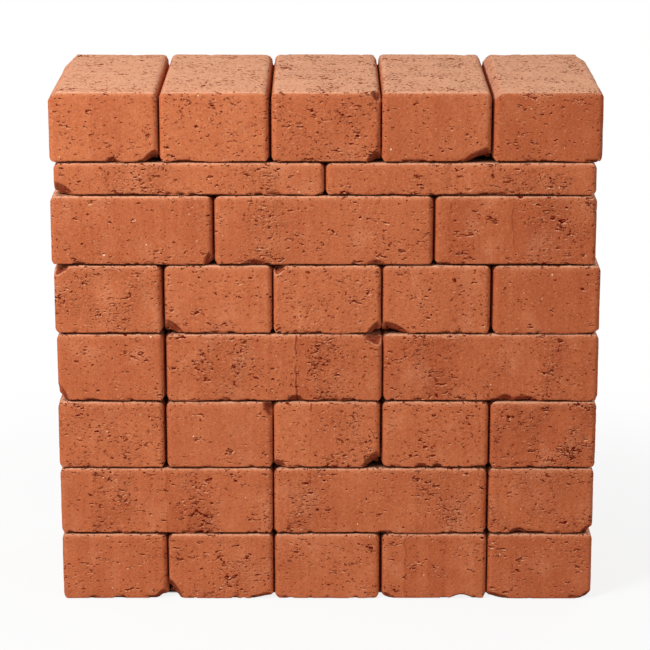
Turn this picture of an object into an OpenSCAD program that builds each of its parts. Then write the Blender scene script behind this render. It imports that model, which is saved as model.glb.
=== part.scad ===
// Dry-laid stack of solid fired-clay bricks: eight courses, one brick length deep.
// The origin is at the middle of the base. X runs along the face, Y runs to the back, Z is up.

/* [Brick] */
// Length of a whole brick
brick_length = 204; // [160:1:260]
// Width of a brick, which is also its depth when it is laid along the face
brick_width = 101; // [70:1:130]
// Height of a whole brick
brick_height = 67; // [45:1:100]
// Length of a three-quarter bat
bat_length = 151; // [110:1:190]

/* [Thin brick] */
// Length of a thin brick
thin_length = 252; // [200:1:300]
// Height of a thin brick
thin_height = 31.5; // [20:0.5:45]

/* [Edges] */
// Radius of the upright arrises, rounded by the die
arris_radius = 5; // [1:0.5:8]
// Radius of the corners of the face, along the edges that run from front to back
face_corner_radius = 6.5; // [1:0.5:9]
// Radius of the edges between the face and the bed faces, cut by the wire
bed_edge_radius = 3; // [0.5:0.5:5]

/* [Laying] */
// Gap between neighbours along a course
head_joint = 2.2; // [1:0.1:8]
// Gap between the front and back bricks of a course
collar_joint = 2; // [1:0.1:8]

/* [Hidden] */
$fn = 64;

// Fired clay of the ends and of the sides of the bricks, as red, green and blue
end_clay_shares = [0.75, 0.43, 0.28];
side_clay_shares = [0.71, 0.39, 0.26];

// The bond, from the lowest course up, each course from left to right
courses = [
    ["header", "header", "header", "header", "header"],
    ["stretcher", "stretcher", "header"],
    ["header", "header", "header", "header", "header"],
    ["header", "stretcher", "stretcher"],
    ["header", "header", "header", "header", "header"],
    ["bat", "stretcher", "bat"],
    ["thin", "thin"],
    ["header", "header", "header", "header", "header"],
];

// How far each course sits to the right of the middle, as a share of the brick's width
course_shift_shares = [0.009, 0.007, 0.008, 0.015, 0.009, -0.025, -0.011, -0.007];

// Share of a joint that each end of a brick may use up by lying askew
skew_share = 0.2;
// Share of a joint that a brick may lie off its place
stray_share = 0.15;
// Turn between the sways of neighbours, in degrees, so that no two lie alike
sway_step = 137.5;
// Phase between a brick's turn, its sideways stray and its stray in depth, in degrees
sway_phase = 70;

// Depth of a corner chip's hollow below its three ends, as a share of its shortest reach
chip_hollow_share = 0.2;

// Knocked corners: course and place in it, both from 0, the corner's side on X, Y and Z,
// and the reach from the corner along X, Y and Z, as shares of the brick's own size there
corner_chip_shares = [
    [0, 0, [1, -1, -1], [0.13, 0.06, 0.19]],
    [0, 1, [-1, -1, -1], [0.14, 0.09, 0.33]],
    [0, 1, [1, -1, -1], [0.24, 0.05, 0.12]],
    [0, 3, [-1, -1, -1], [0.13, 0.04, 0.12]],
    [0, 4, [-1, -1, -1], [0.18, 0.05, 0.13]],
    [0, 4, [1, -1, -1], [0.12, 0.06, 0.15]],
    [1, 2, [1, -1, -1], [0.13, 0.06, 0.17]],
    [2, 1, [1, -1, 1], [0.10, 0.05, 0.28]],
    [2, 2, [-1, -1, -1], [0.13, 0.05, 0.16]],
    [2, 2, [1, -1, -1], [0.17, 0.08, 0.28]],
    [3, 0, [-1, -1, -1], [0.11, 0.09, 0.28]],
    [3, 1, [1, -1, 1], [0.10, 0.10, 0.18]],
    [4, 0, [-1, -1, 1], [0.16, 0.08, 0.16]],
    [4, 1, [-1, -1, -1], [0.18, 0.06, 0.23]],
    [4, 2, [-1, -1, 1], [0.13, 0.06, 0.16]],
    [4, 2, [1, -1, -1], [0.13, 0.07, 0.20]],
    [4, 3, [-1, -1, -1], [0.26, 0.07, 0.19]],
    [5, 0, [1, -1, -1], [0.06, 0.10, 0.24]],
    [6, 0, [-1, -1, -1], [0.08, 0.12, 0.46]],
    [7, 0, [-1, 1, 1], [0.10, 0.25, 0.16]],
    [7, 0, [1, -1, -1], [0.15, 0.08, 0.20]],
    [7, 2, [1, -1, -1], [0.13, 0.06, 0.22]],
    [7, 2, [1, -1, 1], [0.10, 0.07, 0.17]],
    [7, 3, [1, -1, -1], [0.27, 0.09, 0.23]],
    [7, 4, [1, 1, 1], [0.09, 0.20, 0.14]],
];

// Spalls on the lower front edge: course and place in it, both from 0, the middle of the spall
// along the brick from its left end, and its width, depth and height, as shares of the brick's
// own size there
edge_chip_shares = [
    [0, 3, 0.77, [0.24, 0.05, 0.08]],
    [1, 2, 0.29, [0.17, 0.04, 0.10]],
    [2, 3, 0.37, [0.12, 0.03, 0.08]],
    [2, 3, 0.52, [0.08, 0.03, 0.07]],
    [3, 1, 0.60, [0.06, 0.06, 0.10]],
    [3, 2, 0.57, [0.08, 0.06, 0.11]],
    [3, 2, 0.66, [0.15, 0.07, 0.10]],
    [5, 1, 0.19, [0.16, 0.06, 0.10]],
    [5, 1, 0.74, [0.10, 0.05, 0.09]],
    [7, 0, 0.58, [0.08, 0.03, 0.08]],
];

// Edges worn off from front to back: course and place in it, both from 0, the edge's side on X
// and Z, and the reach of the wear along X and Z, as shares of the brick's own size there
edge_wear_shares = [
    [7, 0, [-1, 1], [0.085, 0.12]],
    [7, 4, [-1, 1], [0.075, 0.11]],
];

// Each brick in the stack: its course, its place in the course and its row, 0 in front and 1 behind
bricks = [
    for (course = [0 : len(courses) - 1])
        for (place = [0 : len(courses[course]) - 1])
            for (row = [0 : row_count(kind_at(course, place)) - 1])
                [course, place, row]
];

function kind_at(course, place) = courses[course][place];
function kind_of(brick) = kind_at(brick[0], brick[1]);

// A header runs right through the stack, and every other brick has one behind it
function row_count(kind) = kind == "header" ? 1 : 2;

// Size of a kind of brick along X, Y and Z as it lies
function size_of(kind) =
    kind == "header" ? [brick_width, brick_length, brick_height]
    : kind == "bat" ? [bat_length, brick_width, brick_height]
    : kind == "thin" ? [thin_length, brick_width, thin_height]
    : [brick_length, brick_width, brick_height];

function row_suffix(brick) =
    row_count(kind_of(brick)) == 1 ? "" : brick[2] == 0 ? "_front" : "_back";
function brick_name(brick) =
    str("course_", brick[0] + 1, "_", kind_of(brick), "_", brick[1] + 1, row_suffix(brick));

function sum(values, upto) = upto <= 0 ? 0 : values[upto - 1] + sum(values, upto - 1);
function lengths(course) = [for (kind = courses[course]) size_of(kind)[0]];

// Length along the face of the first bricks of a course, with a joint after each
function run(course, count) = sum(lengths(course), count) + count * head_joint;
function course_length(course) = run(course, len(courses[course])) - head_joint;
function course_height(course) = size_of(courses[course][0])[2];
function course_bed(course) = sum([for (c = [0 : len(courses) - 1]) course_height(c)], course);

// Number of a brick in the stack, which sets how it lies askew
function number_of(brick) = [for (i = [0 : len(bricks) - 1]) if (bricks[i] == brick) i][0];
function sway(brick, phase) = sin(sway_step * number_of(brick) + sway_phase * phase);
function turn_of(brick) =
    let (size = size_of(kind_of(brick)), joint = min(head_joint, collar_joint))
    asin(skew_share * joint / max(size[0], size[1])) * sway(brick, 0);

function middle_of(brick) =
    let (
        course = brick[0],
        size = size_of(kind_of(brick)),
        left = -course_length(course) / 2 + course_shift_shares[course] * brick_width,
        x = left + run(course, brick[1]) + size[0] / 2,
        row_step = (size[1] + collar_joint) / 2,
        y = row_count(kind_of(brick)) == 1 ? 0 : brick[2] == 0 ? -row_step : row_step
    )
    [
        x + stray_share * head_joint * sway(brick, 1),
        y + stray_share * collar_joint * sway(brick, 2),
        course_bed(course) + size[2] / 2,
    ];

// Rounded rectangle about the origin
module rounded_outline(size, radius) {
    for (x = [-1, 1], y = [-1, 1])
        translate([x * (size[0] / 2 - radius), y * (size[1] / 2 - radius)]) circle(radius);
    square([size[0] - 2 * radius, size[1]], center = true);
    square([size[0], size[1] - 2 * radius], center = true);
}

// A whole brick about its middle: what its plan, front and end outlines have in common
module sound_brick(size) {
    intersection() {
        linear_extrude(size[2], center = true)
            rounded_outline([size[0], size[1]], arris_radius);
        rotate([90, 0, 0])
            linear_extrude(size[1], center = true)
                rounded_outline([size[0], size[2]], face_corner_radius);
        rotate([90, 0, 90])
            linear_extrude(size[0], center = true)
                rounded_outline([size[1], size[2]], bed_edge_radius);
    }
}

// Middle of the circle through three points
function circle_middle(a, b, c) =
    let (u = b - a, v = c - a, n = cross(u, v))
    a + (cross(n, u) * (v * v) + cross(v, n) * (u * u)) / (2 * n * n);

function unit(v) = v / norm(v);

// Shallow hollow where a corner has been knocked off. Side says which corner, and reach how far
// the break runs from it
module corner_chip(size, side, reach) {
    corner = [for (i = [0 : 2]) side[i] * size[i] / 2];
    ends = [for (i = [0 : 2]) [for (j = [0 : 2]) i == j ? corner[j] - side[j] * reach[j] : corner[j]]];
    middle = circle_middle(ends[0], ends[1], ends[2]);
    rim = norm(ends[0] - middle);
    outward = unit([for (i = [0 : 2]) side[i] / reach[i]]);
    hollow = chip_hollow_share * min(reach);
    radius = (rim * rim + hollow * hollow) / (2 * hollow);
    translate(middle + outward * (radius - hollow)) sphere(radius);
}

// Hollow spalled out of the lower front edge, through the two ends of its width and the top and
// back of the break
module edge_chip(size, along, spall) {
    half = spall[0] / 2;
    in_y = (spall[1] * spall[1] - half * half) / (2 * spall[1]);
    in_z = (spall[2] * spall[2] - half * half) / (2 * spall[2]);
    translate([(along - 1 / 2) * size[0], in_y - size[1] / 2, in_z - size[2] / 2])
        sphere(norm([half, in_y, in_z]));
}

// Flat worn along an edge from front to back. The cutter reaches past the brick on all sides
module worn_edge(size, side, reach) {
    edge = [side[0] * size[0] / 2, side[1] * size[2] / 2];
    out = [side[0] * reach[0], side[1] * reach[1]];
    rotate([90, 0, 0])
        linear_extrude(2 * size[1], center = true)
            polygon([
                edge + out,
                edge + [-2 * out[0], out[1]],
                edge + [out[0], -2 * out[1]],
            ]);
}

function times(a, b) = [for (i = [0 : len(a) - 1]) a[i] * b[i]];
function is_here(chip, brick) = brick[2] == 0 && chip[0] == brick[0] && chip[1] == brick[1];

module chipped_brick(brick) {
    size = size_of(kind_of(brick));
    difference() {
        sound_brick(size);
        for (chip = corner_chip_shares)
            if (is_here(chip, brick)) corner_chip(size, chip[2], times(chip[3], size));
        for (chip = edge_chip_shares)
            if (is_here(chip, brick)) edge_chip(size, chip[2], times(chip[3], size));
        for (wear = edge_wear_shares)
            if (is_here(wear, brick)) worn_edge(size, wear[2], times(wear[3], [size[0], size[2]]));
    }
}

// Whole brick with its end in the face
module header(brick) {
    color(end_clay_shares) chipped_brick(brick);
}

// Whole brick with its long side in the face
module stretcher(brick) {
    color(side_clay_shares) chipped_brick(brick);
}

// Three-quarter brick with its long side in the face
module bat(brick) {
    color(side_clay_shares) chipped_brick(brick);
}

// Long thin brick with its edge in the face
module thin_brick(brick) {
    color(side_clay_shares) chipped_brick(brick);
}

// A brick laid in its place in the stack
module laid_brick(brick) {
    kind = kind_of(brick);
    translate(middle_of(brick)) rotate([0, 0, turn_of(brick)]) {
        if (kind == "header") header(brick);
        if (kind == "stretcher") stretcher(brick);
        if (kind == "bat") bat(brick);
        if (kind == "thin") thin_brick(brick);
    }
}

for (brick = bricks)
    laid_brick(brick);
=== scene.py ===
"""Looks of a dry-laid stack of fired-clay bricks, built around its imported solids."""

import itertools
import logging
import math
import random
from dataclasses import dataclass, field
from enum import Enum

import bmesh
import bpy
import numpy as np
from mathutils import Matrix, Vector
from mathutils.bvhtree import BVHTree


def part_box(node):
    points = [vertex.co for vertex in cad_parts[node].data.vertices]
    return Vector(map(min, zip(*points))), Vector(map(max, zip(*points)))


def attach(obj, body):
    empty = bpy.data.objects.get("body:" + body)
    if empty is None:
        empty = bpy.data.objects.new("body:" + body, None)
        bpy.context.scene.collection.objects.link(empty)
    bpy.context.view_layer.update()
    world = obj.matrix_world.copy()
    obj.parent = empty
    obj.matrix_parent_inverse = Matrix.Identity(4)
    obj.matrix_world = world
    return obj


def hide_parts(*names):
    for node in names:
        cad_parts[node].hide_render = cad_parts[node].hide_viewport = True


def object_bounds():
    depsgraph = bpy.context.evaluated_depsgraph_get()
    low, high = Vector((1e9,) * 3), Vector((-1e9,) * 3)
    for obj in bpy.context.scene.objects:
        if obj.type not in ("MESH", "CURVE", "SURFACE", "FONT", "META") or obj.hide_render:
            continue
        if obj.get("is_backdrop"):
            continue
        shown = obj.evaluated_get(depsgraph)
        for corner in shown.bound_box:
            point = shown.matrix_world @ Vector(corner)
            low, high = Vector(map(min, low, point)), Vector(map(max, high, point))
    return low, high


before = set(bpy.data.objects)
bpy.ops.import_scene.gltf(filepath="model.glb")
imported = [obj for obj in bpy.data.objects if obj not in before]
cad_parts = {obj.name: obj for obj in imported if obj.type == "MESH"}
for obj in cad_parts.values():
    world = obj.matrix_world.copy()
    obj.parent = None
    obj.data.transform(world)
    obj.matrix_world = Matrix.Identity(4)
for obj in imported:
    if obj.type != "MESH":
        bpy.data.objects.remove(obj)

LOG = logging.getLogger("brick_stack")
BODY = "root"
MM = 0.001
FAR = 1.0
SHIFT_RANGE = 97
START_RANGE = 5

Points = np.ndarray
Range = tuple[float, float]
Lengths = tuple[float, float, float]
Colour = tuple[float, float, float]


def screen_colour(red: int, green: int, blue: int) -> Colour:
    """Turns a colour as a screen shows it into the linear one that a shader takes.

    Args:
        red: share of red, from 0 to 255.
        green: share of green, from 0 to 255.
        blue: share of blue, from 0 to 255.

    Returns:
        The linear colour.
    """
    shares = [part / 255 for part in (red, green, blue)]
    return tuple(s / 12.92 if s <= 0.04045 else ((s + 0.055) / 1.055) ** 2.4 for s in shares)


def ease(low: float, high: float, values: Points) -> Points:
    """Rises smoothly from 0 at low to 1 at high.

    Args:
        low: value at which the rise starts.
        high: value at which the rise ends.
        values: values to look up.

    Returns:
        A share for each value.
    """
    share = np.clip((values - low) / (high - low), 0, 1)
    return share * share * (3 - 2 * share)


SLOPES = np.random.default_rng(8).normal(size=(4096, 3))
SLOPES /= np.linalg.norm(SLOPES, axis=1)[:, None]
STRIDES = np.array([73856093, 19349663, 83492791])
SWELL_GAIN = 1.4


def swell(points: Points, lengths: Lengths, shift: float) -> Points:
    """Smooth noise from about -1 to 1 at each point, on a lattice of chance slopes.

    Args:
        points: places in metres, one a row.
        lengths: distance from swell to swell along X, Y and Z, in metres.
        shift: offset that keeps this noise apart from the rest.

    Returns:
        One value a point.
    """
    places = points / np.array(lengths) + shift
    cells = np.floor(places).astype(np.int64)
    within = places - cells
    fade = within**3 * (within * (within * 6 - 15) + 10)
    total = np.zeros(len(points))
    for corner in itertools.product((0, 1), repeat=3):
        keys = np.bitwise_xor.reduce((cells + corner) * STRIDES, axis=1) % len(SLOPES)
        rise = np.sum(SLOPES[keys] * (within - corner), axis=1)
        total += rise * np.prod(np.where(corner, fade, 1 - fade), axis=1)
    return SWELL_GAIN * total


class Side(Enum):
    """A side of a brick as it lies: the axis that it faces along, and which way."""

    LEFT = (0, -1)
    RIGHT = (0, 1)
    FRONT = (1, -1)
    BACK = (1, 1)
    BED = (2, -1)
    TOP = (2, 1)

    @property
    def axis(self) -> int:
        """Axis that the side faces along."""
        return self.value[0]

    @property
    def way(self) -> int:
        """Which way the side faces along its axis."""
        return self.value[1]

    @property
    def grain(self) -> tuple[int, int]:
        """The side's own two axes, first the one that its pits are drawn out along."""
        if self.axis == 2:
            return 0, 1
        return 1 - self.axis, 2

    def inset(self, points: Points, low: Points, high: Points) -> Points:
        """How far points lie inside the plane of this side.

        Args:
            points: places in metres, one a row.
            low: lowest corner of the brick.
            high: highest corner of the brick.

        Returns:
            One distance a point.
        """
        plane = high if self.way > 0 else low
        return (plane[self.axis] - points[:, self.axis]) * self.way


class Firing(Enum):
    """How hard a brick was fired, as a share from the deep colour to the pale one."""

    SOFT = 0.75
    EVEN = 0.5
    HARD = 0.25
    BURNT = 0.0


@dataclass(frozen=True)
class Front:
    """What marks the front of a brick. Places run from its left end, as shares of its length.

    Its face and its top are torn by a share each. A patch is torn from one place to another. A seam
    has a place, and a share for how deep it is scored.
    """

    torn: float = 0.25
    top: float = 0.4
    patches: tuple[Range, ...] = ()
    seams: tuple[Range, ...] = ()
    firing: Firing = Firing.EVEN


# Each brick's firing is its own tone. The HARD firing of course_1_header_5, course_3_header_5,
# course_4_stretcher_3_front and course_5_header_5 at the right-hand end is also painted shade where the
# light falls off to the right.
FRONTS = {
    "course_1_header_1": Front(torn=0.15),
    "course_1_header_2": Front(torn=0.55),
    "course_1_header_3": Front(torn=0.2),
    "course_1_header_4": Front(torn=0.15, seams=((0.22, 0.3), (0.45, 0.3))),
    "course_1_header_5": Front(torn=0.2, firing=Firing.HARD),
    "course_2_stretcher_1_front": Front(
        torn=0.1, patches=((0.12, 0.32), (0.58, 0.76)), seams=((0.5, 0.3),)
    ),
    "course_2_stretcher_2_front": Front(torn=0.15, patches=((0.04, 0.30), (0.64, 0.90))),
    "course_2_header_3": Front(torn=0.75),
    "course_3_header_1": Front(torn=0.55),
    "course_3_header_2": Front(torn=0.0),
    "course_3_header_3": Front(
        torn=0.1, patches=((0.45, 0.92),), seams=((0.345, 0.7),), firing=Firing.SOFT
    ),
    "course_3_header_4": Front(torn=0.0),
    "course_3_header_5": Front(torn=0.85, firing=Firing.HARD),
    "course_4_header_1": Front(torn=0.0),
    "course_4_stretcher_2_front": Front(
        torn=0.2, patches=((0.14, 0.36), (0.64, 0.86)), seams=((0.605, 0.75),)
    ),
    "course_4_stretcher_3_front": Front(
        torn=0.25, patches=((0.14, 0.36), (0.72, 0.84)), seams=((0.13, 0.3),), firing=Firing.HARD
    ),
    "course_5_header_1": Front(torn=0.7),
    "course_5_header_2": Front(torn=0.0, firing=Firing.SOFT),
    "course_5_header_3": Front(torn=0.4, firing=Firing.SOFT),
    "course_5_header_4": Front(torn=0.25),
    "course_5_header_5": Front(torn=0.1, firing=Firing.HARD),
    "course_6_bat_1_front": Front(torn=0.2),
    "course_6_stretcher_2_front": Front(torn=0.05, patches=((0.14, 0.34),)),
    "course_6_bat_3_front": Front(
        torn=0.1, patches=((0.56, 0.93),), seams=((0.085, 0.5), (0.48, 0.4)), firing=Firing.HARD
    ),
    "course_7_thin_1_front": Front(torn=0.1, patches=((0.18, 0.43), (0.6, 0.82)), firing=Firing.SOFT),
    "course_7_thin_2_front": Front(torn=0.1, patches=((0.32, 0.46), (0.56, 0.88))),
    "course_8_header_1": Front(torn=0.0, top=0.3, seams=((0.4, 0.1),), firing=Firing.SOFT),
    "course_8_header_2": Front(torn=0.0, top=0.35, firing=Firing.SOFT),
    "course_8_header_3": Front(torn=0.45, top=0.6),
    "course_8_header_4": Front(torn=0.1, top=0.7, firing=Firing.HARD),
    "course_8_header_5": Front(torn=0.0, top=0.55, firing=Firing.BURNT),
}


@dataclass(frozen=True)
class Fineness:
    """Size of the cells that a brick's skin is divided into, finer towards its edges.

    The core is where the skin is drawn to: as deep as this, or as a share of a thinner brick.
    """

    face: float = 1.4 * MM
    depth: float = 2.1 * MM
    lap: float = 6.5 * MM
    crowding: float = 0.45
    core: float = 25 * MM
    core_share: float = 0.45


@dataclass(frozen=True)
class Relief:
    """How a fired face departs from a true one. Depths run into the brick.

    A range is where a mark starts and where it is full. A turn is how far a spot has to face a way.
    """

    proud: float = 0.25 * MM
    seen: Range = (0.4, 0.9)
    bow: float = 0.45 * MM
    bow_length: float = 85 * MM
    ripple: float = 0.2 * MM
    ripple_length: float = 15 * MM
    torn_depth: float = 0.9 * MM
    torn_least: float = 0.25
    torn_start: float = 0.12
    torn_length: float = 10 * MM
    torn_height: float = 4.5 * MM
    torn_patch: float = 30 * MM
    torn_spread: Range = (-0.5, 0.4)
    patch_torn: float = 0.7
    patch_edge: float = 12 * MM
    patch_spread: Range = (-0.7, 0.2)
    patch_turn: Range = (0.2, 0.7)
    nibble_depth: float = 5.0 * MM
    nibble_length: float = 16 * MM
    nibble_finer: float = 2.7
    nibble_fine: float = 0.9
    nibble_spread: Range = (0.15, 0.6)
    nibble_reach: float = 3.0 * MM
    wear_depth: float = 0.6 * MM
    crumble_depth: float = 2.6 * MM
    lift: float = 2.0 * MM
    lift_length: float = 35 * MM
    lift_middle: float = 0.7
    lift_range: Range = (0.25, 1.3)
    lift_turn: Range = (0.1, 0.7)
    lift_floor: float = 0.2
    lean: float = 1.15 * MM
    lean_edge: float = 4 * MM
    sound_edge: float = 5 * MM
    chip_rough: float = 1.8 * MM
    chip_ragged: float = 1.0 * MM
    chip_length: float = 6 * MM
    chip_shift: float = 0.5
    chip_sunk: Range = (1.0 * MM, 2.2 * MM)
    chip_turn: Range = (0.1, 0.35)
    bed_turn: Range = (0.4, 0.9)
    top_turn: float = 0.7
    seam_turn: float = 0.5
    # Depths below the top over which the pale crumbs and painted highlight along the top edges fade out.
    rim: Range = (1 * MM, 6 * MM)
    # Depths over which the painted shade in pits and nibbles goes from none to full.
    hollow: Range = (0.5 * MM, 1.6 * MM)
    firing_stray: float = 0.12
    # Where the painted shade in the level joints starts and is full, and how far it reaches in from the
    # shown sides.
    bed_joint: Range = (1.0 * MM, 3.5 * MM)
    top_joint: Range = (3.0 * MM, 6.5 * MM)
    joint_edge: Range = (1 * MM, 2 * MM)
    joint_reach: tuple[float, float, float] = (0.75, 1.0, 1.0)
    pits_per_area: float = 0.0007 / MM**2
    pit_length: Range = (1.6 * MM, 4.0 * MM)
    pit_height: Range = (1.2 * MM, 2.2 * MM)
    pit_depth: Range = (0.5 * MM, 1.5 * MM)
    pit_rough: float = 3 * MM
    pit_ragged: float = 1.2 * MM


class Value:
    """A shader value, on which arithmetic adds Math nodes."""

    def __init__(self, shader: "Shader", socket: bpy.types.NodeSocket) -> None:
        """Keeps the socket and the shader that it belongs to."""
        self.shader = shader
        self.socket = socket

    def _math(self, operation: str, *terms: "Value | float", clamp: bool = False) -> "Value":
        """Adds one Math node on these terms."""
        settings = {"operation": operation, "use_clamp": clamp}
        return self.shader.node("Math", settings, dict(enumerate(terms)))["Value"]

    def __add__(self, other: "Value | float") -> "Value":
        """This value plus another."""
        return self._math("ADD", self, other)

    def __radd__(self, other: float) -> "Value":
        """A number plus this value."""
        return self._math("ADD", other, self)

    def __sub__(self, other: "Value | float") -> "Value":
        """This value less another."""
        return self._math("SUBTRACT", self, other)

    def __rsub__(self, other: float) -> "Value":
        """A number less this value."""
        return self._math("SUBTRACT", other, self)

    def __mul__(self, other: "Value | float") -> "Value":
        """This value times another."""
        return self._math("MULTIPLY", self, other)

    def __rmul__(self, other: float) -> "Value":
        """A number times this value."""
        return self._math("MULTIPLY", other, self)

    def __pow__(self, power: float) -> "Value":
        """This value to a power."""
        return self._math("POWER", self, power)

    def clipped(self) -> "Value":
        """This value held between 0 and 1."""
        return self._math("ADD", self, 0.0, clamp=True)

    def between(self, low: "Value | float", high: "Value | float") -> "Value":
        """Share of the way from low to high, eased at both ends and held between 0 and 1."""
        settings = {"interpolation_type": "SMOOTHSTEP"}
        sockets = {"Value": self, "From Min": low, "From Max": high}
        return self.shader.node("MapRange", settings, sockets)["Result"]


@dataclass(frozen=True)
class Grain:
    """A cloud of noise: distance from swell to swell along X, Y and Z, and the finer layers over it."""

    lengths: Lengths
    detail: float = 2.0
    harsh: float = 0.5

    @classmethod
    def even(cls, length: float, detail: float) -> "Grain":
        """A cloud that is alike in all directions."""
        return cls((length,) * 3, detail)


@dataclass(frozen=True)
class Fleck:
    """Flecks of uneven size: their spacing, and the radius of the largest as a share of it.

    The rarity is a power that makes the large ones rare. The middle is the share of a fleck's radius
    within which it shows in full.
    """

    spacing: float
    size: float
    rarity: float
    middle: float = 0.4


@dataclass(frozen=True)
class Tint:
    """A colour that follows a cloud: where it starts, where it is full, and its share there."""

    start: float
    full: float
    share: float

    def on(self, cloud: Value) -> Value:
        """Share of the colour that shows."""
        return cloud.between(self.start, self.full) * self.share


@dataclass(frozen=True)
class Tear:
    """A size of tear: lines along the middle of one cloud, open where a patchy one is high enough.

    How high that has to be is given for sound clay, less a share where the clay is torn and where
    tears crowd, and with a share added on a bed. A line's two widths are where it starts and where
    it is full, in the cloud's own height.
    """

    scale: float
    sound: float
    torn: float
    crowd: float
    bed: float
    opening: float = 0.04
    upright: Lengths = (9 * MM, 9 * MM, 2.6 * MM)
    flat: Lengths = (5 * MM, 7 * MM, 5 * MM)
    patchy: Lengths = (6 * MM, 6 * MM, 3.2 * MM)
    # Widths of the painted shade in a tear's core, and of the groove round it, which the bump sinks and
    # which is painted shaded too.
    painted_shade: Range = (0.042, 0.025)
    shaded_groove: Range = (0.1, 0.03)

    def grain(self, lengths: Lengths, detail: float) -> Grain:
        """A cloud of these lengths at the tear's own scale."""
        return Grain(tuple(self.scale * length for length in lengths), detail)

    def line(self, off: Value, widths: Range) -> Value:
        """1 along the middle of a cloud, and 0 outside these widths."""
        return (off * off).between(*((width / self.scale) ** 2 for width in widths))


class Shader:
    """A node tree, written node by node."""

    def __init__(self, tree: bpy.types.NodeTree) -> None:
        """Empties a tree to write in.

        Args:
            tree: the material's or the world's node tree.
        """
        self.tree = tree
        self.tree.nodes.clear()

    @classmethod
    def inside(cls, owner: bpy.types.ID) -> "Shader":
        """Starts the shader of a new material or world."""
        owner.use_nodes = True
        return cls(owner.node_tree)

    def node(
        self, kind: str, settings: dict | None = None, sockets: dict | None = None
    ) -> dict[str, Value]:
        """Adds a node.

        Args:
            kind: the node's type, without its usual prefix.
            settings: the node's own settings, which are set first.
            sockets: values or links of its sockets, by name or number.

        Returns:
            The node's outputs by name.
        """
        prefixes = ("ShaderNode", "ShaderNodeTex")
        made = self.tree.nodes.new(next(p + kind for p in prefixes if hasattr(bpy.types, p + kind)))
        for name, setting in (settings or {}).items():
            setattr(made, name, setting)
        for key, value in (sockets or {}).items():
            if isinstance(value, Value):
                self.tree.links.new(value.socket, made.inputs[key])
            else:
                made.inputs[key].default_value = value
        return {out.name: Value(self, out) for out in made.outputs if out.enabled}

    def vector(self, operation: str, *terms: Value | tuple) -> Value:
        """Adds one Vector Math node on these terms."""
        return self.node("VectorMath", {"operation": operation}, dict(enumerate(terms)))["Vector"]

    def mix(self, share: Value | float, first: Value | tuple, second: Value | tuple) -> Value:
        """Mixes two colours.

        Args:
            share: how much of the second shows.
            first: colour at 0.
            second: colour at 1.

        Returns:
            The mixed colour.
        """
        colours = [c if isinstance(c, Value) else (*c, 1.0) for c in (first, second)]
        sockets = {0: share, 6: colours[0], 7: colours[1]}
        return self.node("Mix", {"data_type": "RGBA"}, sockets)["Result"]

    def attribute(self, name: str, output: str = "Fac") -> Value:
        """Reads one of the skin's own attributes."""
        return self.node("Attribute", {"attribute_name": name})[output]

    def cloud(self, place: Value, grain: Grain) -> Value:
        """Smooth noise from 0 to 1.

        Args:
            place: where to look it up, in metres.
            grain: its sizes and layers.

        Returns:
            The noise.
        """
        stretched = self.vector("MULTIPLY", place, tuple(1 / length for length in grain.lengths))
        sockets = {"Vector": stretched, "Scale": 1.0, "Detail": grain.detail, "Roughness": grain.harsh}
        return self.node("Noise", {}, sockets)["Fac"]

    def flecks(self, place: Value, fleck: Fleck) -> Value:
        """Scattered flecks of uneven size.

        Args:
            place: where to look them up, in metres.
            fleck: how far apart and how large they are.

        Returns:
            1 in the middle of a fleck, and 0 outside it.
        """
        stretched = self.vector("MULTIPLY", place, (1 / fleck.spacing,) * 3)
        cells = self.node("Voronoi", {}, {"Vector": stretched, "Scale": 1.0})
        chance = self.node("SeparateColor", {}, {0: cells["Color"]})["Red"]
        radius = chance**fleck.rarity * fleck.size
        return cells["Distance"].between(radius, radius * fleck.middle)


@dataclass(frozen=True)
class Warmth:
    """How far each cloud warms the clay towards its body's colour, and each mark cools it."""

    mottle: float = 0.9
    blotch: float = 0.5
    streak: float = 0.7
    torn: float = 0.08
    step: float = 0.3


@dataclass(frozen=True)
class Shares:
    """How much of its colour each mark shows at most."""

    # How much more of the pale bed colour harder-fired bricks take, as painted light that evens out the
    # tops where the light falls off.
    bed_light_by_firing: float = 0.2
    bed_streak: float = 0.9
    grog: float = 0.4
    broken: float = 0.75
    broken_blotch: float = 0.8
    # Shares of the painted highlight on the lower lips of large and small tears.
    lit_lip: float = 0.75
    painted_glint: float = 0.5
    # Shares of the painted shade in tear cores, the grooves round them, pores, pits, nibbles and seams.
    core: float = 0.97
    dip: float = 0.75
    dent: float = 0.5
    bed_tear: float = 0.45
    pores: float = 0.8
    hollow: float = 0.5
    seam: float = 0.85
    torn_crumb: float = 0.5
    specks: float = 0.85
    joint: float = 0.75


@dataclass(frozen=True)
class Heights:
    """How far each cloud stands out of the surface and each mark lies below it, in millimetres."""

    grit: float = 0.35
    blotch: float = 0.15
    streak: float = 0.1
    crumb: float = 0.5
    torn_crumb: float = 2.6
    dip: float = 1.4
    dent: float = 0.6
    pores: float = 0.4
    seam: float = 0.3


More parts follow.
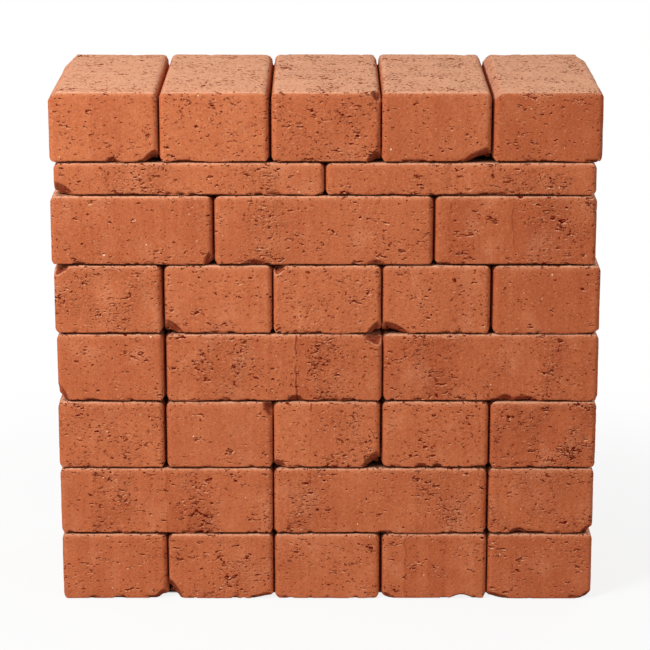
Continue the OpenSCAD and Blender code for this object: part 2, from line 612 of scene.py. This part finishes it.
@dataclass(frozen=True)
class FiredClay:
    """Matt unglazed terracotta: colours as a screen shows them, with painted shade and painted
    highlights among them, and the sizes of its marks.
    """

    name: str = "fired_clay"
    body: Colour = screen_colour(202, 116, 75)
    deep: Colour = screen_colour(176, 90, 55)
    pale: Colour = screen_colour(226, 150, 110)
    # Pale colour painted on the lower lips of tears as a painted highlight, where light catches their
    # far walls.
    edge: Colour = screen_colour(238, 170, 130)
    # Paler colour of the upward faces.
    bed: Colour = screen_colour(230, 175, 142)
    # Near-black red-brown painted into tear cores, pores, pits, nibbles and seams as painted shade.
    pit_shade: Colour = screen_colour(100, 2, 0)
    # Deep red painted into the grooves round the tears as painted shade.
    shaded_groove: Colour = screen_colour(164, 60, 10)
    # Near black painted deep in the level joints as painted shade.
    joint_shade_colour: Colour = screen_colour(46, 8, 3)
    broken: Colour = screen_colour(124, 46, 28)
    speck: Colour = screen_colour(246, 220, 186)
    roughness: float = 0.9
    shine: float = 0.03
    warmth: Warmth = Warmth()
    shares: Shares = Shares()
    heights: Heights = Heights()
    mottle: Grain = Grain.even(40 * MM, 3.0)
    blotch: Grain = Grain.even(8 * MM, 4.0)
    grit: Grain = Grain.even(1.7 * MM, 1.0)
    crumb: Grain = Grain((3.6 * MM, 3.6 * MM, 2.4 * MM), 3.0, 0.6)
    dust: Grain = Grain((27 * MM, 27 * MM, 40 * MM), 4.0)
    upright: Grain = Grain((4 * MM, 4 * MM, 160 * MM), 3.0)
    drag: Grain = Grain((120 * MM, 4 * MM, 4 * MM), 3.0)
    crowd: Grain = Grain.even(26 * MM, 1.0)
    grog: Fleck = Fleck(4.6 * MM, 0.2, 3.0)
    specks: Fleck = Fleck(8 * MM, 0.14, 6.0)
    large_tear: Tear = Tear(1.6, 0.691, 0.12, 0.3, 0.03)
    small_tear: Tear = Tear(0.6, 0.696, 0.08, 0.35, -0.03)
    # Offset towards the light at which the tears are looked up again, to place the painted highlight on
    # their lower lips.
    lit_lip: Lengths = (-0.4 * MM, -0.8 * MM, 1.1 * MM)
    wander_scale: float = 300.0
    wander: Lengths = (3 * MM, 3 * MM, 2 * MM)
    pore: Range = (0.33, 0.315)
    pore_torn: float = 0.03
    pore_bed: float = 0.015
    seam_wobble: Grain = Grain((40 * MM, 40 * MM, 18 * MM), 4.0)
    seam_wander: float = 9 * MM
    seam_width: Range = (1.1 * MM, 0.4 * MM)
    seam_breaks: Grain = Grain.even(30 * MM, 2.0)
    seam_whole: Range = (0.42, 0.56)
    step_edge: float = 1.0 * MM
    step_reach: Range = (40 * MM, 15 * MM)
    dust_tint: Tint = Tint(0.5, 0.8, 0.35)
    grit_dark: Tint = Tint(0.5, 0.72, 0.3)
    grit_pale: Tint = Tint(0.48, 0.28, 0.18)
    crumb_dark: Tint = Tint(0.5, 0.38, 0.35)
    crumb_pale: Tint = Tint(0.62, 0.72, 0.3)
    # Pale crumbs and a painted highlight along the top edges, where light from above catches them.
    rim_pale: Tint = Tint(0.45, 0.6, 0.5)

    def build(self) -> bpy.types.Material:
        """Writes the material.

        Returns:
            The material, which reads the skins' attributes and Object coordinates.
        """
        material = bpy.data.materials.new(self.name)
        shader = Shader.inside(material)
        nodes = ClayNodes(self, shader)
        bump = shader.node("Bump", {}, {"Height": nodes.height(), "Distance": MM, "Strength": 1.0})
        surface = {
            "Base Color": nodes.colour(),
            "Roughness": self.roughness,
            "Specular IOR Level": self.shine,
            "Normal": bump["Normal"],
        }
        clay = shader.node("BsdfPrincipled", {}, surface)["BSDF"]
        shader.node("OutputMaterial", {}, {"Surface": clay})
        return material


class ClayNodes:
    """The fired clay's nodes, from the skin's marks and the clouds to its colour and height."""

    def __init__(self, clay: FiredClay, shader: Shader) -> None:
        """Reads the skin's marks, and lays out what both the colour and the height read.

        Args:
            clay: the finish.
            shader: the material's shader.
        """
        self.clay = clay
        self.shader = shader
        self.bed = shader.attribute("bed")
        self.torn = shader.attribute("torn")
        start = shader.attribute("start", "Vector")
        self.place = shader.vector("ADD", shader.node("TexCoord")["Object"], start)
        self.ragged = self._ragged()
        self.blotch, self.grit, self.crumb, upright, drag, crowd = (
            shader.cloud(self.place, grain)
            for grain in (clay.blotch, clay.grit, clay.crumb, clay.upright, clay.drag, clay.crowd)
        )
        self.streak = upright + self.bed * (drag - upright)
        crowd = crowd - 0.5
        self.core, self.dip, self.lit_lip = self._tears(clay.large_tear, crowd)
        self.nick, self.dent, self.painted_glint = self._tears(clay.small_tear, crowd)
        more = clay.pore_torn * self.torn + clay.pore_bed * self.bed
        self.pores = self.crumb.between(*(height + more for height in clay.pore))
        self.seam, self.step = self._seam()

    def _ragged(self) -> Value:
        """Moves places about a little, so that the marks run ragged.

        Returns:
            The moved places.
        """
        sockets = {"Vector": self.place, "Scale": self.clay.wander_scale, "Detail": 2.0}
        wander = self.shader.node("Noise", {}, sockets)["Color"]
        wander = self.shader.vector("SUBTRACT", wander, (0.5, 0.5, 0.5))
        return self.shader.vector("MULTIPLY_ADD", wander, self.clay.wander, self.place)

    def _tears(self, tear: Tear, crowd: Value) -> tuple[Value, Value, Value]:
        """Short thin tears, drawn out level.

        Args:
            tear: their size, and how readily they open.
            crowd: how closely they crowd, above or below 0.

        Returns:
            1 in the dark of a tear, where shade is painted, 1 in the groove that it leaves, painted
            shaded too, and 1 on its lower lip, where a highlight is painted.
        """
        height = tear.sound - tear.torn * self.torn - tear.crowd * crowd + tear.bed * self.bed
        painted_shade, shaded_groove = self._cracks(tear, self.ragged, height)
        lit_lip, _ = self._cracks(tear, self.shader.vector("ADD", self.ragged, self.clay.lit_lip), height)
        return painted_shade, shaded_groove, lit_lip

    def _cracks(self, tear: Tear, place: Value, height: Value) -> tuple[Value, Value]:
        """Lines along the middle of one cloud, where a patchy one is high enough.

        Args:
            tear: the size of tear.
            place: where to look them up, in metres.
            height: how high the patchy cloud has to be.

        Returns:
            1 in the dark of a line, where shade is painted, and 1 in the groove along it, which is
            painted shaded too.
        """
        upright = self.shader.cloud(place, tear.grain(tear.upright, 2.0))
        flat = self.shader.cloud(place, tear.grain(tear.flat, 2.0))
        patchy = self.shader.cloud(place, tear.grain(tear.patchy, 1.0))
        off = upright + self.bed * (flat - upright) - 0.5
        open_here = patchy.between(height, height + tear.opening)
        return tear.line(off, tear.painted_shade) * open_here, tear.line(off, tear.shaded_groove) * open_here

    def _seam(self) -> tuple[Value, Value]:
        """Fine upright lines scored as the clay left the die, broken here and there, with painted shade
        along them.

        Returns:
            1 on a line, and 1 on the darker side of it.
        """
        clay = self.clay
        wobble = self.shader.cloud(self.place, clay.seam_wobble) - 0.5
        off = self.shader.attribute("seam") + wobble * clay.seam_wander
        line = (off * off).between(*(width**2 for width in clay.seam_width))
        whole = self.shader.cloud(self.place, clay.seam_breaks).between(*clay.seam_whole)
        step = off.between(-clay.step_edge, clay.step_edge)
        near = (off * off).between(*(reach**2 for reach in clay.step_reach))
        return line * whole * self.shader.attribute("scored"), step * near

    def colour(self) -> Value:
        """Colour of the clay, layer on layer."""
        return self._soiled_and_shaded(self._marked(self._fired()))

    def _fired(self) -> Value:
        """Colour of sound clay, as it was drawn and fired.

        Returns:
            The colour.
        """
        clay, warm, mix = self.clay, self.clay.warmth, self.shader.mix
        firing = self.shader.attribute("firing")
        mottle = self.shader.cloud(self.place, clay.mottle) - 0.5
        streak = self.streak - 0.5
        warmth = firing + warm.mottle * mottle + warm.blotch * (self.blotch - 0.5) + warm.streak * streak
        warmth = warmth - warm.torn * self.torn - warm.step * self.step
        colour = mix(warmth.clipped(), clay.deep, clay.body)
        colour = mix(clay.dust_tint.on(self.shader.cloud(self.place, clay.dust)), colour, clay.pale)
        # Upward faces take a paler colour; harder-fired bricks take more of it, as painted light on the
        # tops where the light falls off.
        bed_paleness = 1.0 - clay.shares.bed_light_by_firing * firing + clay.shares.bed_streak * streak
        colour = mix(self.bed * bed_paleness.clipped(), colour, clay.bed)
        colour = mix(clay.grit_dark.on(self.grit), colour, clay.deep)
        return mix(clay.crumb_dark.on(self.crumb), colour, clay.deep)

    def _marked(self, colour: Value) -> Value:
        """Adds grog, broken clay, pale crumbs with a painted highlight on the top rims, painted
        highlights on the lips of tears, and painted shade in tears, pits, pores, nibbles and seams.

        Args:
            colour: colour of the sound clay.

        Returns:
            The colour with its marks.
        """
        clay, share, mix = self.clay, self.clay.shares, self.shader.mix
        grog = self.shader.flecks(self.ragged, clay.grog) * (share.grog + share.grog * self.bed)
        colour = mix(clay.grit_pale.on(self.grit) + grog, colour, clay.pale)
        broken = (share.broken + share.broken_blotch * (self.blotch - 0.5)).clipped()
        colour = mix(self.shader.attribute("broken") * broken, colour, clay.broken)
        # Pale crumbs and painted highlight along the top edges of each brick.
        colour = mix(self.shader.attribute("rim") * clay.rim_pale.on(self.grit), colour, clay.pale)
        # Painted highlight: the lower lips of the tears are painted pale on the side that faces the
        # light.
        colour = mix((self.lit_lip * share.lit_lip + self.painted_glint * share.painted_glint).clipped(), colour, clay.edge)
        # Painted shade: deep red in the grooves round the tears, then near black in their cores, pores,
        # pits, nibbles and seams.
        tear = self.core * share.core + self.nick
        shaded_groove = self.dip * share.dip + self.dent * share.dent + self.bed * tear
        colour = mix(shaded_groove.clipped(), colour, clay.shaded_groove)
        # Painted shade in the pits and nibbles, by how deep they are sunk.
        hollow = self.shader.attribute("hollow") * share.hollow
        painted_shade = tear * (1 - share.bed_tear * self.bed) + self.pores * share.pores + hollow
        return mix((painted_shade + self.seam * share.seam).clipped(), colour, clay.pit_shade)

    def _soiled_and_shaded(self, colour: Value) -> Value:
        """Adds pale crumbs and specks that lie on the clay, and painted shade deep in the joints.

        Args:
            colour: colour of the marked clay.

        Returns:
            The finished colour.
        """
        clay, share, mix = self.clay, self.clay.shares, self.shader.mix
        pale = clay.crumb_pale
        crumbs = self.crumb.between(pale.start, pale.full) * (pale.share + share.torn_crumb * self.torn)
        colour = mix(crumbs, colour, clay.pale)
        colour = mix(self.shader.flecks(self.ragged, clay.specks) * share.specks, colour, clay.speck)
        # Painted shade deep in the level joints, on the beds that other bricks hide.
        return mix(self.shader.attribute("joint") * share.joint, colour, clay.joint_shade_colour)

    def height(self) -> Value:
        """How far the surface stands out, for its bump.

        Returns:
            The height in millimetres.
        """
        high = self.clay.heights
        grain = high.grit * self.grit + high.blotch * self.blotch + high.streak * self.streak
        crumb = (high.crumb + high.torn_crumb * self.torn) * self.crumb
        tears = high.dip * self.dip + high.dent * self.dent
        return grain + crumb - tears - high.pores * self.pores - high.seam * self.seam


@dataclass
class Brick:
    """One brick of the stack, as a fine skin wrapped on its solid."""

    node: str
    shown: frozenset[Side]
    fineness: Fineness = Fineness()
    relief: Relief = Relief()
    low: Points = field(init=False)
    high: Points = field(init=False)
    front: Front = field(init=False)
    draw: random.Random = field(init=False)
    marks: dict[str, Points] = field(init=False, default_factory=dict)

    def __post_init__(self) -> None:
        """Takes the brick's box from the frame, and its own run of chance from its name."""
        self.low, self.high = (np.array(corner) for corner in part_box(self.node))
        self.draw = random.Random(self.node)
        self.front = FRONTS.get(self.node, Front())

    def build(self, clay: bpy.types.Material) -> bpy.types.Object:
        """Makes the brick's skin, dresses it and puts it in place of its solid.

        Args:
            clay: the fired clay.

        Returns:
            The finished piece.
        """
        mesh = bpy.data.meshes.new(f"{self.node}_skin")
        block = self._block()
        block.to_mesh(mesh)
        block.free()
        self._wrap(mesh)
        self._weather(mesh)
        piece = bpy.data.objects.new(f"{self.node}_skin", mesh)
        bpy.context.scene.collection.objects.link(piece)
        self._dress(piece, clay)
        return piece

    def _block(self) -> bmesh.types.BMesh:
        """Divides a block of the brick's size into cells, with whole faces left in the joints.

        Returns:
            The divided block.
        """
        size = self.high - self.low
        block = bmesh.new()
        bmesh.ops.create_cube(block, size=1.0)
        bmesh.ops.scale(block, vec=Vector(size), verts=block.verts)
        bmesh.ops.translate(block, vec=Vector((self.low + self.high) / 2), verts=block.verts)
        face = self.fineness.face if Side.FRONT in self.shown else self.fineness.depth
        for axis, cell in enumerate((face, self.fineness.depth, face)):
            along = [edge for edge in block.edges if self._runs(edge, axis)]
            cuts = round(size[axis] / cell) - 1
            bmesh.ops.subdivide_edges(block, edges=along, cuts=cuts, use_grid_fill=True)
        share = (np.array([vertex.co for vertex in block.verts]) - self.low) / size
        share -= self.fineness.crowding * np.sin(2 * np.pi * share) / (2 * np.pi)
        for vertex, place in zip(block.verts, self.low + size * share):
            vertex.co = place
        for side in Side:
            if side not in self.shown:
                buried = self._buried(block, side)
                whole = bmesh.ops.dissolve_faces(block, faces=buried, use_verts=False)["region"]
                if side.axis == 0:
                    bmesh.ops.inset_individual(block, faces=whole, thickness=self.relief.lean_edge)
        for cell in block.faces:
            cell.smooth = True
        return block

    def _runs(self, edge: bmesh.types.BMEdge, axis: int) -> bool:
        """Whether an edge runs the whole length of the brick along an axis."""
        first, last = (vertex.co[axis] for vertex in edge.verts)
        return abs(first - last) > (self.high[axis] - self.low[axis]) / 2

    def _buried(self, block: bmesh.types.BMesh, side: Side) -> list[bmesh.types.BMFace]:
        """Cells of a hidden side that lie deeper in the joint than the lap.

        Args:
            block: the divided block.
            side: the hidden side.

        Returns:
            The buried cells.
        """
        cells = [cell for cell in block.faces if cell.normal[side.axis] * side.way > 0.5]
        middles = np.array([cell.calc_center_median() for cell in cells])
        deep = np.full(len(cells), True)
        for seen in self.shown:
            deep &= self._inset(seen, middles) > self.fineness.lap
        return [cell for cell, buried in zip(cells, deep) if buried]

    def _wrap(self, mesh: bpy.types.Mesh) -> None:
        """Draws the skin in on the brick's solid, each vertex straight towards the brick's core.

        Args:
            mesh: the skin.
        """
        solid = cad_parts[self.node].data
        tree = BVHTree.FromPolygons([v.co for v in solid.vertices], [p.vertices for p in solid.polygons])
        inset = np.minimum(self.fineness.core, self.fineness.core_share * (self.high - self.low))
        places = self._read(mesh.vertices, "co")
        ways = np.clip(places, self.low + inset, self.high - inset) - places
        ways /= np.linalg.norm(ways, axis=1)[:, None]
        starts = places - ways * MM
        for vertex, start, way in zip(mesh.vertices, starts.tolist(), ways.tolist()):
            vertex.co = tree.ray_cast(start, way)[0] or tree.find_nearest(start)[0]
        mesh.update()

    def _read(self, items: bpy.types.bpy_prop_collection, name: str) -> Points:
        """Reads one vector of each item.

        Args:
            items: vertices, or their normals.
            name: name of the vector.

        Returns:
            The vectors, one a row.
        """
        values = np.empty(len(items) * 3)
        items.foreach_get(name, values)
        return values.reshape(-1, 3)

    def _weather(self, mesh: bpy.types.Mesh) -> None:
        """Moves the skin's vertices in by the marks of drawing, cutting, firing and handling.

        Args:
            mesh: the wrapped skin.
        """
        relief = self.relief
        places = self._read(mesh.vertices, "co")
        normals = self._read(mesh.vertex_normals, "vector")
        seen = self._seen(places)
        chip = self._chipped(places, normals)
        bed = ease(*relief.bed_turn, normals[:, 2]) * (1 - chip)
        torn = self._torn(places, normals)
        joint = self._joint(places)
        # Pits and nibbles are sunk into the skin, and their depth also sets the painted shade in them.
        hollow = np.maximum(self._pits(places), self._nibbles(places))
        rough = relief.chip_rough * swell(places, (relief.chip_length,) * 3, self._shift())
        depth = self._bow(places) + self._tears(places, torn, bed) + hollow + chip * rough
        depth += self._lift(places, normals)
        depth = np.maximum(depth, -relief.proud) * seen
        depth -= self._lean(places)
        places -= normals * depth[:, None]
        mesh.vertices.foreach_set("co", places.ravel())
        mesh.update()
        seam, scored = self._seam(places, normals)
        firing = self.front.firing.value + self.draw.uniform(-relief.firing_stray, relief.firing_stray)
        self.marks = {
            "bed": bed,
            "joint": joint,
            "broken": chip,
            "torn": torn,
            "hollow": ease(*relief.hollow, hollow) * (1 - chip),
            "firing": np.full(len(places), firing),
            "seam": seam,
            "scored": scored,
            "rim": 1 - ease(*relief.rim, self._inset(Side.TOP, places)),
        }

    def _shift(self) -> float:
        """Next offset from the brick's own run of chance."""
        return self.draw.uniform(0, SHIFT_RANGE)

    def _inset(self, side: Side, places: Points) -> Points:
        """How far places lie inside the plane of one of the brick's sides."""
        return side.inset(places, self.low, self.high)

    def _seen(self, places: Points) -> Points:
        """Finds what can be seen of the skin.

        Args:
            places: the skin's vertices.

        Returns:
            1 on the shown sides and the edges round them, falling to 0 within the joints.
        """
        nearest = np.min([self._inset(side, places) for side in self.shown], axis=0)
        start, end = (share * self.fineness.lap for share in self.relief.seen)
        return 1 - ease(start, end, nearest)

    def _chipped(self, places: Points, normals: Points) -> Points:
        """Finds the chips that the solid itself has.

        Args:
            places: the skin's vertices.
            normals: which way they face.

        Returns:
            1 where the solid lies well below a sound brick's faces and edges, seen from front or back.
        """
        relief = self.relief
        half = (self.high - self.low) / 2
        past = np.abs(places - (self.low + self.high) / 2) - half + relief.sound_edge
        outside = np.linalg.norm(np.maximum(past, 0), axis=1)
        sunk = relief.sound_edge - outside - np.minimum(np.max(past, axis=1), 0)
        sunk += relief.chip_ragged * swell(places, (relief.chip_length,) * 3, relief.chip_shift)
        return ease(*relief.chip_turn, np.abs(normals[:, 1])) * ease(*relief.chip_sunk, sunk)

    def _torn(self, places: Points, normals: Points) -> Points:
        """Finds how far each spot tore as the clay was drawn.

        Args:
            places: the skin's vertices.
            normals: which way they face.

        Returns:
            A share from 0 to 1 for each vertex.
        """
        relief, front = self.relief, self.front
        patch = swell(places, (relief.torn_patch,) * 3, self._shift())
        share = np.where(normals[:, 2] > relief.top_turn, front.top, front.torn)
        torn = share * ease(*relief.torn_spread, patch)
        edge = relief.patch_edge
        along = places[:, 0] - self.low[0] + edge * swell(places, (2 * edge,) * 3, self._shift())
        length = self.high[0] - self.low[0]
        for start, end in front.patches:
            inside = ease(-edge / 2, edge / 2, along - start * length)
            inside *= ease(-edge / 2, edge / 2, end * length - along)
            inside *= ease(*relief.patch_spread, patch) * ease(*relief.patch_turn, -normals[:, 1])
            torn = np.maximum(torn, relief.patch_torn * inside)
        return torn

    def _seam(self, places: Points, normals: Points) -> tuple[Points, Points]:
        """Finds the nearest seam of the front.

        Args:
            places: the skin's vertices.
            normals: which way they face.

        Returns:
            Distance to it along X, far away on the other sides, and how deep it is scored.
        """
        nearest = np.full(len(places), FAR)
        scored = np.zeros(len(places))
        for share, depth in self.front.seams:
            off = places[:, 0] - (self.low[0] + share * (self.high[0] - self.low[0]))
            scored = np.where(np.abs(off) < np.abs(nearest), depth, scored)
            nearest = np.where(np.abs(off) < np.abs(nearest), off, nearest)
        return np.where(normals[:, 1] < -self.relief.seam_turn, nearest, FAR), scored

    def _joint(self, places: Points) -> Points:
        """Finds how deep each spot lies in a level joint, where shade is painted.

        Args:
            places: the skin's vertices.

        Returns:
            1 deep in the joints, on the beds that other bricks hide, and 0 on the shown sides.
        """
        relief = self.relief
        reach = relief.joint_reach
        within = np.min([reach[side.axis] * self._inset(side, places) for side in self.shown], axis=0)
        joint = np.zeros(len(places))
        for side, depths in ((Side.BED, relief.bed_joint), (Side.TOP, relief.top_joint)):
            if side not in self.shown:
                on_bed = 1 - ease(*relief.joint_edge, self._inset(side, places))
                joint = np.maximum(joint, on_bed * ease(*depths, within))
        return joint

    def _lean(self, places: Points) -> Points:
        """How far the hidden ends stand out deep in the joints, where the bricks lean on each other.

        Args:
            places: the skin's vertices.

        Returns:
            One distance a vertex.
        """
        edge = self.relief.lean_edge / 2
        ends = [side for side in (Side.LEFT, Side.RIGHT) if side not in self.shown]
        beds = (Side.BED, Side.TOP)
        at_end, off_bed, within = (
            np.min([self._inset(side, places) for side in sides], axis=0)
            for sides in (ends, beds, self.shown)
        )
        deep = (at_end < edge / 2) & (off_bed > edge) & (within > self.fineness.lap + edge)
        return self.relief.lean * deep

    def _lift(self, places: Points, normals: Points) -> Points:
        """Gap under the brick along its shown sides, which the warp of firing leaves.

        Args:
            places: the skin's vertices.
            normals: which way they face.

        Returns:
            One depth a vertex.
        """
        relief = self.relief
        warp = relief.lift_middle + swell(places, (relief.lift_length,) * 3, self._shift())
        share = relief.lift_floor if self.low[2] < MM else 1.0
        warp = np.clip(warp, *relief.lift_range)
        return share * relief.lift * warp * ease(*relief.lift_turn, -normals[:, 2])

    def _bow(self, places: Points) -> Points:
        """Slow warp and ripple of the faces."""
        bow = self.relief.bow * swell(places, (self.relief.bow_length,) * 3, self._shift())
        return bow + self.relief.ripple * swell(places, (self.relief.ripple_length,) * 3, self._shift())

    def _tears(self, places: Points, torn: Points, bed: Points) -> Points:
        """Ragged tears across the way that the clay was drawn.

        Args:
            places: the skin's vertices.
            torn: how far each spot tore.
            bed: 1 on a bed, where the tears run the other way.

        Returns:
            One depth a vertex.
        """
        relief = self.relief
        long, short = relief.torn_length, relief.torn_height
        upright = swell(places, (long, long, short), self._shift())
        flat = swell(places, (long, short, long), self._shift())
        tear = upright + bed * (flat - upright)
        share = relief.torn_least + (1 - relief.torn_least) * torn
        return relief.torn_depth * share * np.maximum(tear - relief.torn_start, 0)

    def _pits(self, places: Points) -> Points:
        """Pits on the shown sides, each a small bowl drawn out level.

        Args:
            places: the skin's vertices.

        Returns:
            One depth a vertex.
        """
        depth = np.zeros(len(places))
        for side in sorted(self.shown, key=lambda shown: shown.name):
            near = self._inset(side, places) < self.fineness.lap
            depth[near] = np.maximum(depth[near], self._bowls(side, places[near]))
        return depth

    def _bowls(self, side: Side, spots: Points) -> Points:
        """Pits of one side, placed by chance.

        Args:
            side: the side.
            spots: the skin's vertices near it.

        Returns:
            One depth a vertex.
        """
        relief, draw = self.relief, self.draw
        long, short = side.grain
        size = self.high - self.low
        ragged = swell(spots, (relief.pit_rough,) * 3, self._shift()) * relief.pit_ragged
        bowls = np.zeros(len(spots))
        for _ in range(round(relief.pits_per_area * size[long] * size[short])):
            at_long, at_short = (draw.uniform(self.low[axis], self.high[axis]) for axis in (long, short))
            half_long, half_short = draw.uniform(*relief.pit_length), draw.uniform(*relief.pit_height)
            deep = draw.triangular(*relief.pit_depth, relief.pit_depth[0])
            off = ((spots[:, long] - at_long + ragged) / half_long) ** 2
            off += ((spots[:, short] - at_short + ragged) / half_short) ** 2
            bowls = np.maximum(bowls, deep * np.maximum(1 - off, 0))
        return bowls

    def _nibbles(self, places: Points) -> Points:
        """Crumbs lost from the edges, most of all from the lower ones.

        Args:
            places: the skin's vertices.

        Returns:
            One depth a vertex.
        """
        relief = self.relief
        coarse = swell(places, (relief.nibble_length,) * 3, self._shift())
        fine = swell(places, (relief.nibble_length / relief.nibble_finer,) * 3, self._shift())
        loss = ease(*relief.nibble_spread, coarse + relief.nibble_fine * fine)
        deepest = np.zeros(len(places))
        for first, second in itertools.product(self.shown, Side):
            if second.axis != first.axis:
                near = np.maximum(self._inset(first, places), self._inset(second, places))
                share = np.exp(-((near / relief.nibble_reach) ** 2))
                deepest = np.maximum(deepest, self._edge_loss(first, second) * share * loss)
        return deepest

    def _edge_loss(self, shown: Side, other: Side) -> float:
        """Greatest depth lost from the edge between two sides.

        Args:
            shown: a side that shows.
            other: a side that meets it.

        Returns:
            The depth.
        """
        if other is Side.BED:
            return self.relief.nibble_depth
        if {shown, other} == {Side.BACK, Side.TOP}:
            return self.relief.crumble_depth
        return self.relief.wear_depth

    def _dress(self, piece: bpy.types.Object, clay: bpy.types.Material) -> None:
        """Gives the skin its marks, its clay and its place in the frame.

        Args:
            piece: the skin.
            clay: the fired clay.
        """
        mesh = piece.data
        for name, values in self.marks.items():
            mark = mesh.attributes.new(name, "FLOAT", "POINT")
            mark.data.foreach_set("value", values.astype(np.float32))
        start = mesh.attributes.new("start", "FLOAT_VECTOR", "POINT")
        corner = [self.draw.uniform(0, START_RANGE) for _ in range(3)]
        start.data.foreach_set("vector", np.tile(corner, len(mesh.vertices)).astype(np.float32))
        mesh.materials.append(clay)
        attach(piece, BODY)
        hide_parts(self.node)


@dataclass
class Stack:
    """The whole stack, course on course."""

    overhang: float = 12 * MM
    bricks: list[Brick] = field(init=False, default_factory=list)

    def __post_init__(self) -> None:
        """Finds the bricks and the sides of each that show."""
        for node in sorted(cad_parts):
            self.bricks.append(Brick(node, self._shown(node)))

    def _shown(self, node: str) -> frozenset[Side]:
        """Sides of a brick on the outside of the stack, apart from its underside.

        Args:
            node: the brick's node.

        Returns:
            The sides that show.
        """
        low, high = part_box(node)
        stack_low, stack_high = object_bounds()
        shown = set()
        for side in Side:
            ours, theirs = (high, stack_high) if side.way > 0 else (low, stack_low)
            if side is not Side.BED and abs(ours[side.axis] - theirs[side.axis]) < self.overhang:
                shown.add(side)
        return frozenset(shown)

    def build(self, clay: bpy.types.Material) -> int:
        """Builds every brick.

        Args:
            clay: the fired clay.

        Returns:
            The number of triangles in all.
        """
        triangles = 0
        for brick in self.bricks:
            piece = brick.build(clay)
            piece.data.calc_loop_triangles()
            triangles += len(piece.data.loop_triangles)
            LOG.info("%s: %d triangles", piece.name, len(piece.data.loop_triangles))
        return triangles


@dataclass(frozen=True)
class Lamp:
    """A round soft light."""

    name: str
    place: Lengths
    aim: Lengths
    size: float
    power: float

    def build(self) -> None:
        """Hangs the lamp and turns it to what it lights."""
        light = bpy.data.lights.new(self.name, "AREA")
        light.shape = "DISK"
        light.size = self.size
        light.energy = self.power
        lamp = bpy.data.objects.new(self.name, light)
        lamp.location = self.place
        aim = Vector(self.aim) - Vector(self.place)
        lamp.rotation_euler = aim.to_track_quat("-Z", "Y").to_euler()
        bpy.context.scene.collection.objects.link(lamp)


@dataclass(frozen=True)
class Studio:
    """White floor, soft light from the upper left, a weak one low behind, and the camera."""

    floor_size: float = 30.0
    floor_shade: float = 0.85
    shadow_share: float = 0.15
    shadow_reach: Range = (0.35, 0.75)
    under: Range = (0.25, 0.086)
    under_edge: float = 0.95
    sky: float = 0.42
    key: Lamp = Lamp("key", (-1.0, -1.1, 1.7), (0.0, -0.1, 0.28), 0.7, 33.5)
    fill: Lamp = Lamp("fill", (1.1, 1.5, 0.4), (0.0, 0.0, 0.25), 0.7, 13.0)
    lens: float = 143.5
    eye: Lengths = (-0.0013, -2.456, 0.948)
    pitch: float = 0.2774

    def build(self) -> None:
        """Sets the floor, the light and the camera."""
        self._floor()
        self._sky()
        self.key.build()
        self.fill.build()
        self._camera()
        bpy.context.scene.view_settings.view_transform = "Standard"

    def _seen_directly(self, shader: Shader) -> Value:
        """1 for what the eye sees straight, mirrored or through glass, and 0 for light on the object."""
        path = shader.node("LightPath")
        return (path["Is Camera Ray"] + path["Is Glossy Ray"] + path["Is Transmission Ray"]).clipped()

    def _within(self, off: Value, half: float) -> Value:
        """1 under the stack along one axis, and 0 outside it."""
        return (off * off).between(half**2, (self.under_edge * half) ** 2)

    def _floor(self) -> None:
        """Lays a pale floor that shows white and keeps a soft shadow."""
        plane = bmesh.new()
        bmesh.ops.create_grid(plane, x_segments=1, y_segments=1, size=self.floor_size / 2)
        mesh = bpy.data.meshes.new("floor")
        plane.to_mesh(mesh)
        plane.free()
        material = bpy.data.materials.new("floor")
        shader = Shader.inside(material)
        matt = shader.node("BsdfDiffuse", {}, {"Color": (self.floor_shade,) * 3 + (1.0,)})["BSDF"]
        white = shader.node("Emission", {}, {"Color": (1.0,) * 4, "Strength": 1.0})["Emission"]
        place = shader.node("TexCoord")["Object"]
        reach = shader.node("VectorMath", {"operation": "LENGTH"}, {0: place})["Value"]
        shadow = self.shadow_share * (1 - reach.between(*self.shadow_reach))
        parts = shader.node("SeparateXYZ", {}, {0: place})
        across, back = (self._within(parts[axis], half) for axis, half in zip("XY", self.under))
        share = self._seen_directly(shader) * (1 - shadow) * (1 - across * back)
        shown = shader.node("MixShader", {}, {0: share, 1: matt, 2: white})["Shader"]
        shader.node("OutputMaterial", {}, {"Surface": shown})
        mesh.materials.append(material)
        floor = bpy.data.objects.new("floor", mesh)
        bpy.context.scene.collection.objects.link(floor)
        floor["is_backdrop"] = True

    def _sky(self) -> None:
        """Gives soft light from all round, and a white background."""
        world = bpy.data.worlds.new("studio")
        shader = Shader.inside(world)
        bpy.context.scene.world = world
        strength = self.sky + self._seen_directly(shader) * (1 - self.sky)
        light = shader.node("Background", {}, {"Color": (1.0,) * 4, "Strength": strength})["Background"]
        shader.node("OutputWorld", {}, {"Surface": light})

    def _camera(self) -> None:
        """Sets the camera where the photograph was taken from."""
        lens = bpy.data.cameras.new("camera")
        lens.lens = self.lens
        camera = bpy.data.objects.new("camera", lens)
        camera.location = self.eye
        camera.rotation_euler = (math.pi / 2 - self.pitch, 0.0, 0.0)
        bpy.context.scene.collection.objects.link(camera)
        bpy.context.scene.camera = camera


def main() -> None:
    """Builds the stack and the studio."""
    logging.basicConfig(level=logging.INFO, format="%(name)s: %(message)s")
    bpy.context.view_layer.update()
    Studio().build()
    triangles = Stack().build(FiredClay().build())
    LOG.info("%d triangles in all", triangles)


if __name__ == "__main__":
    main()
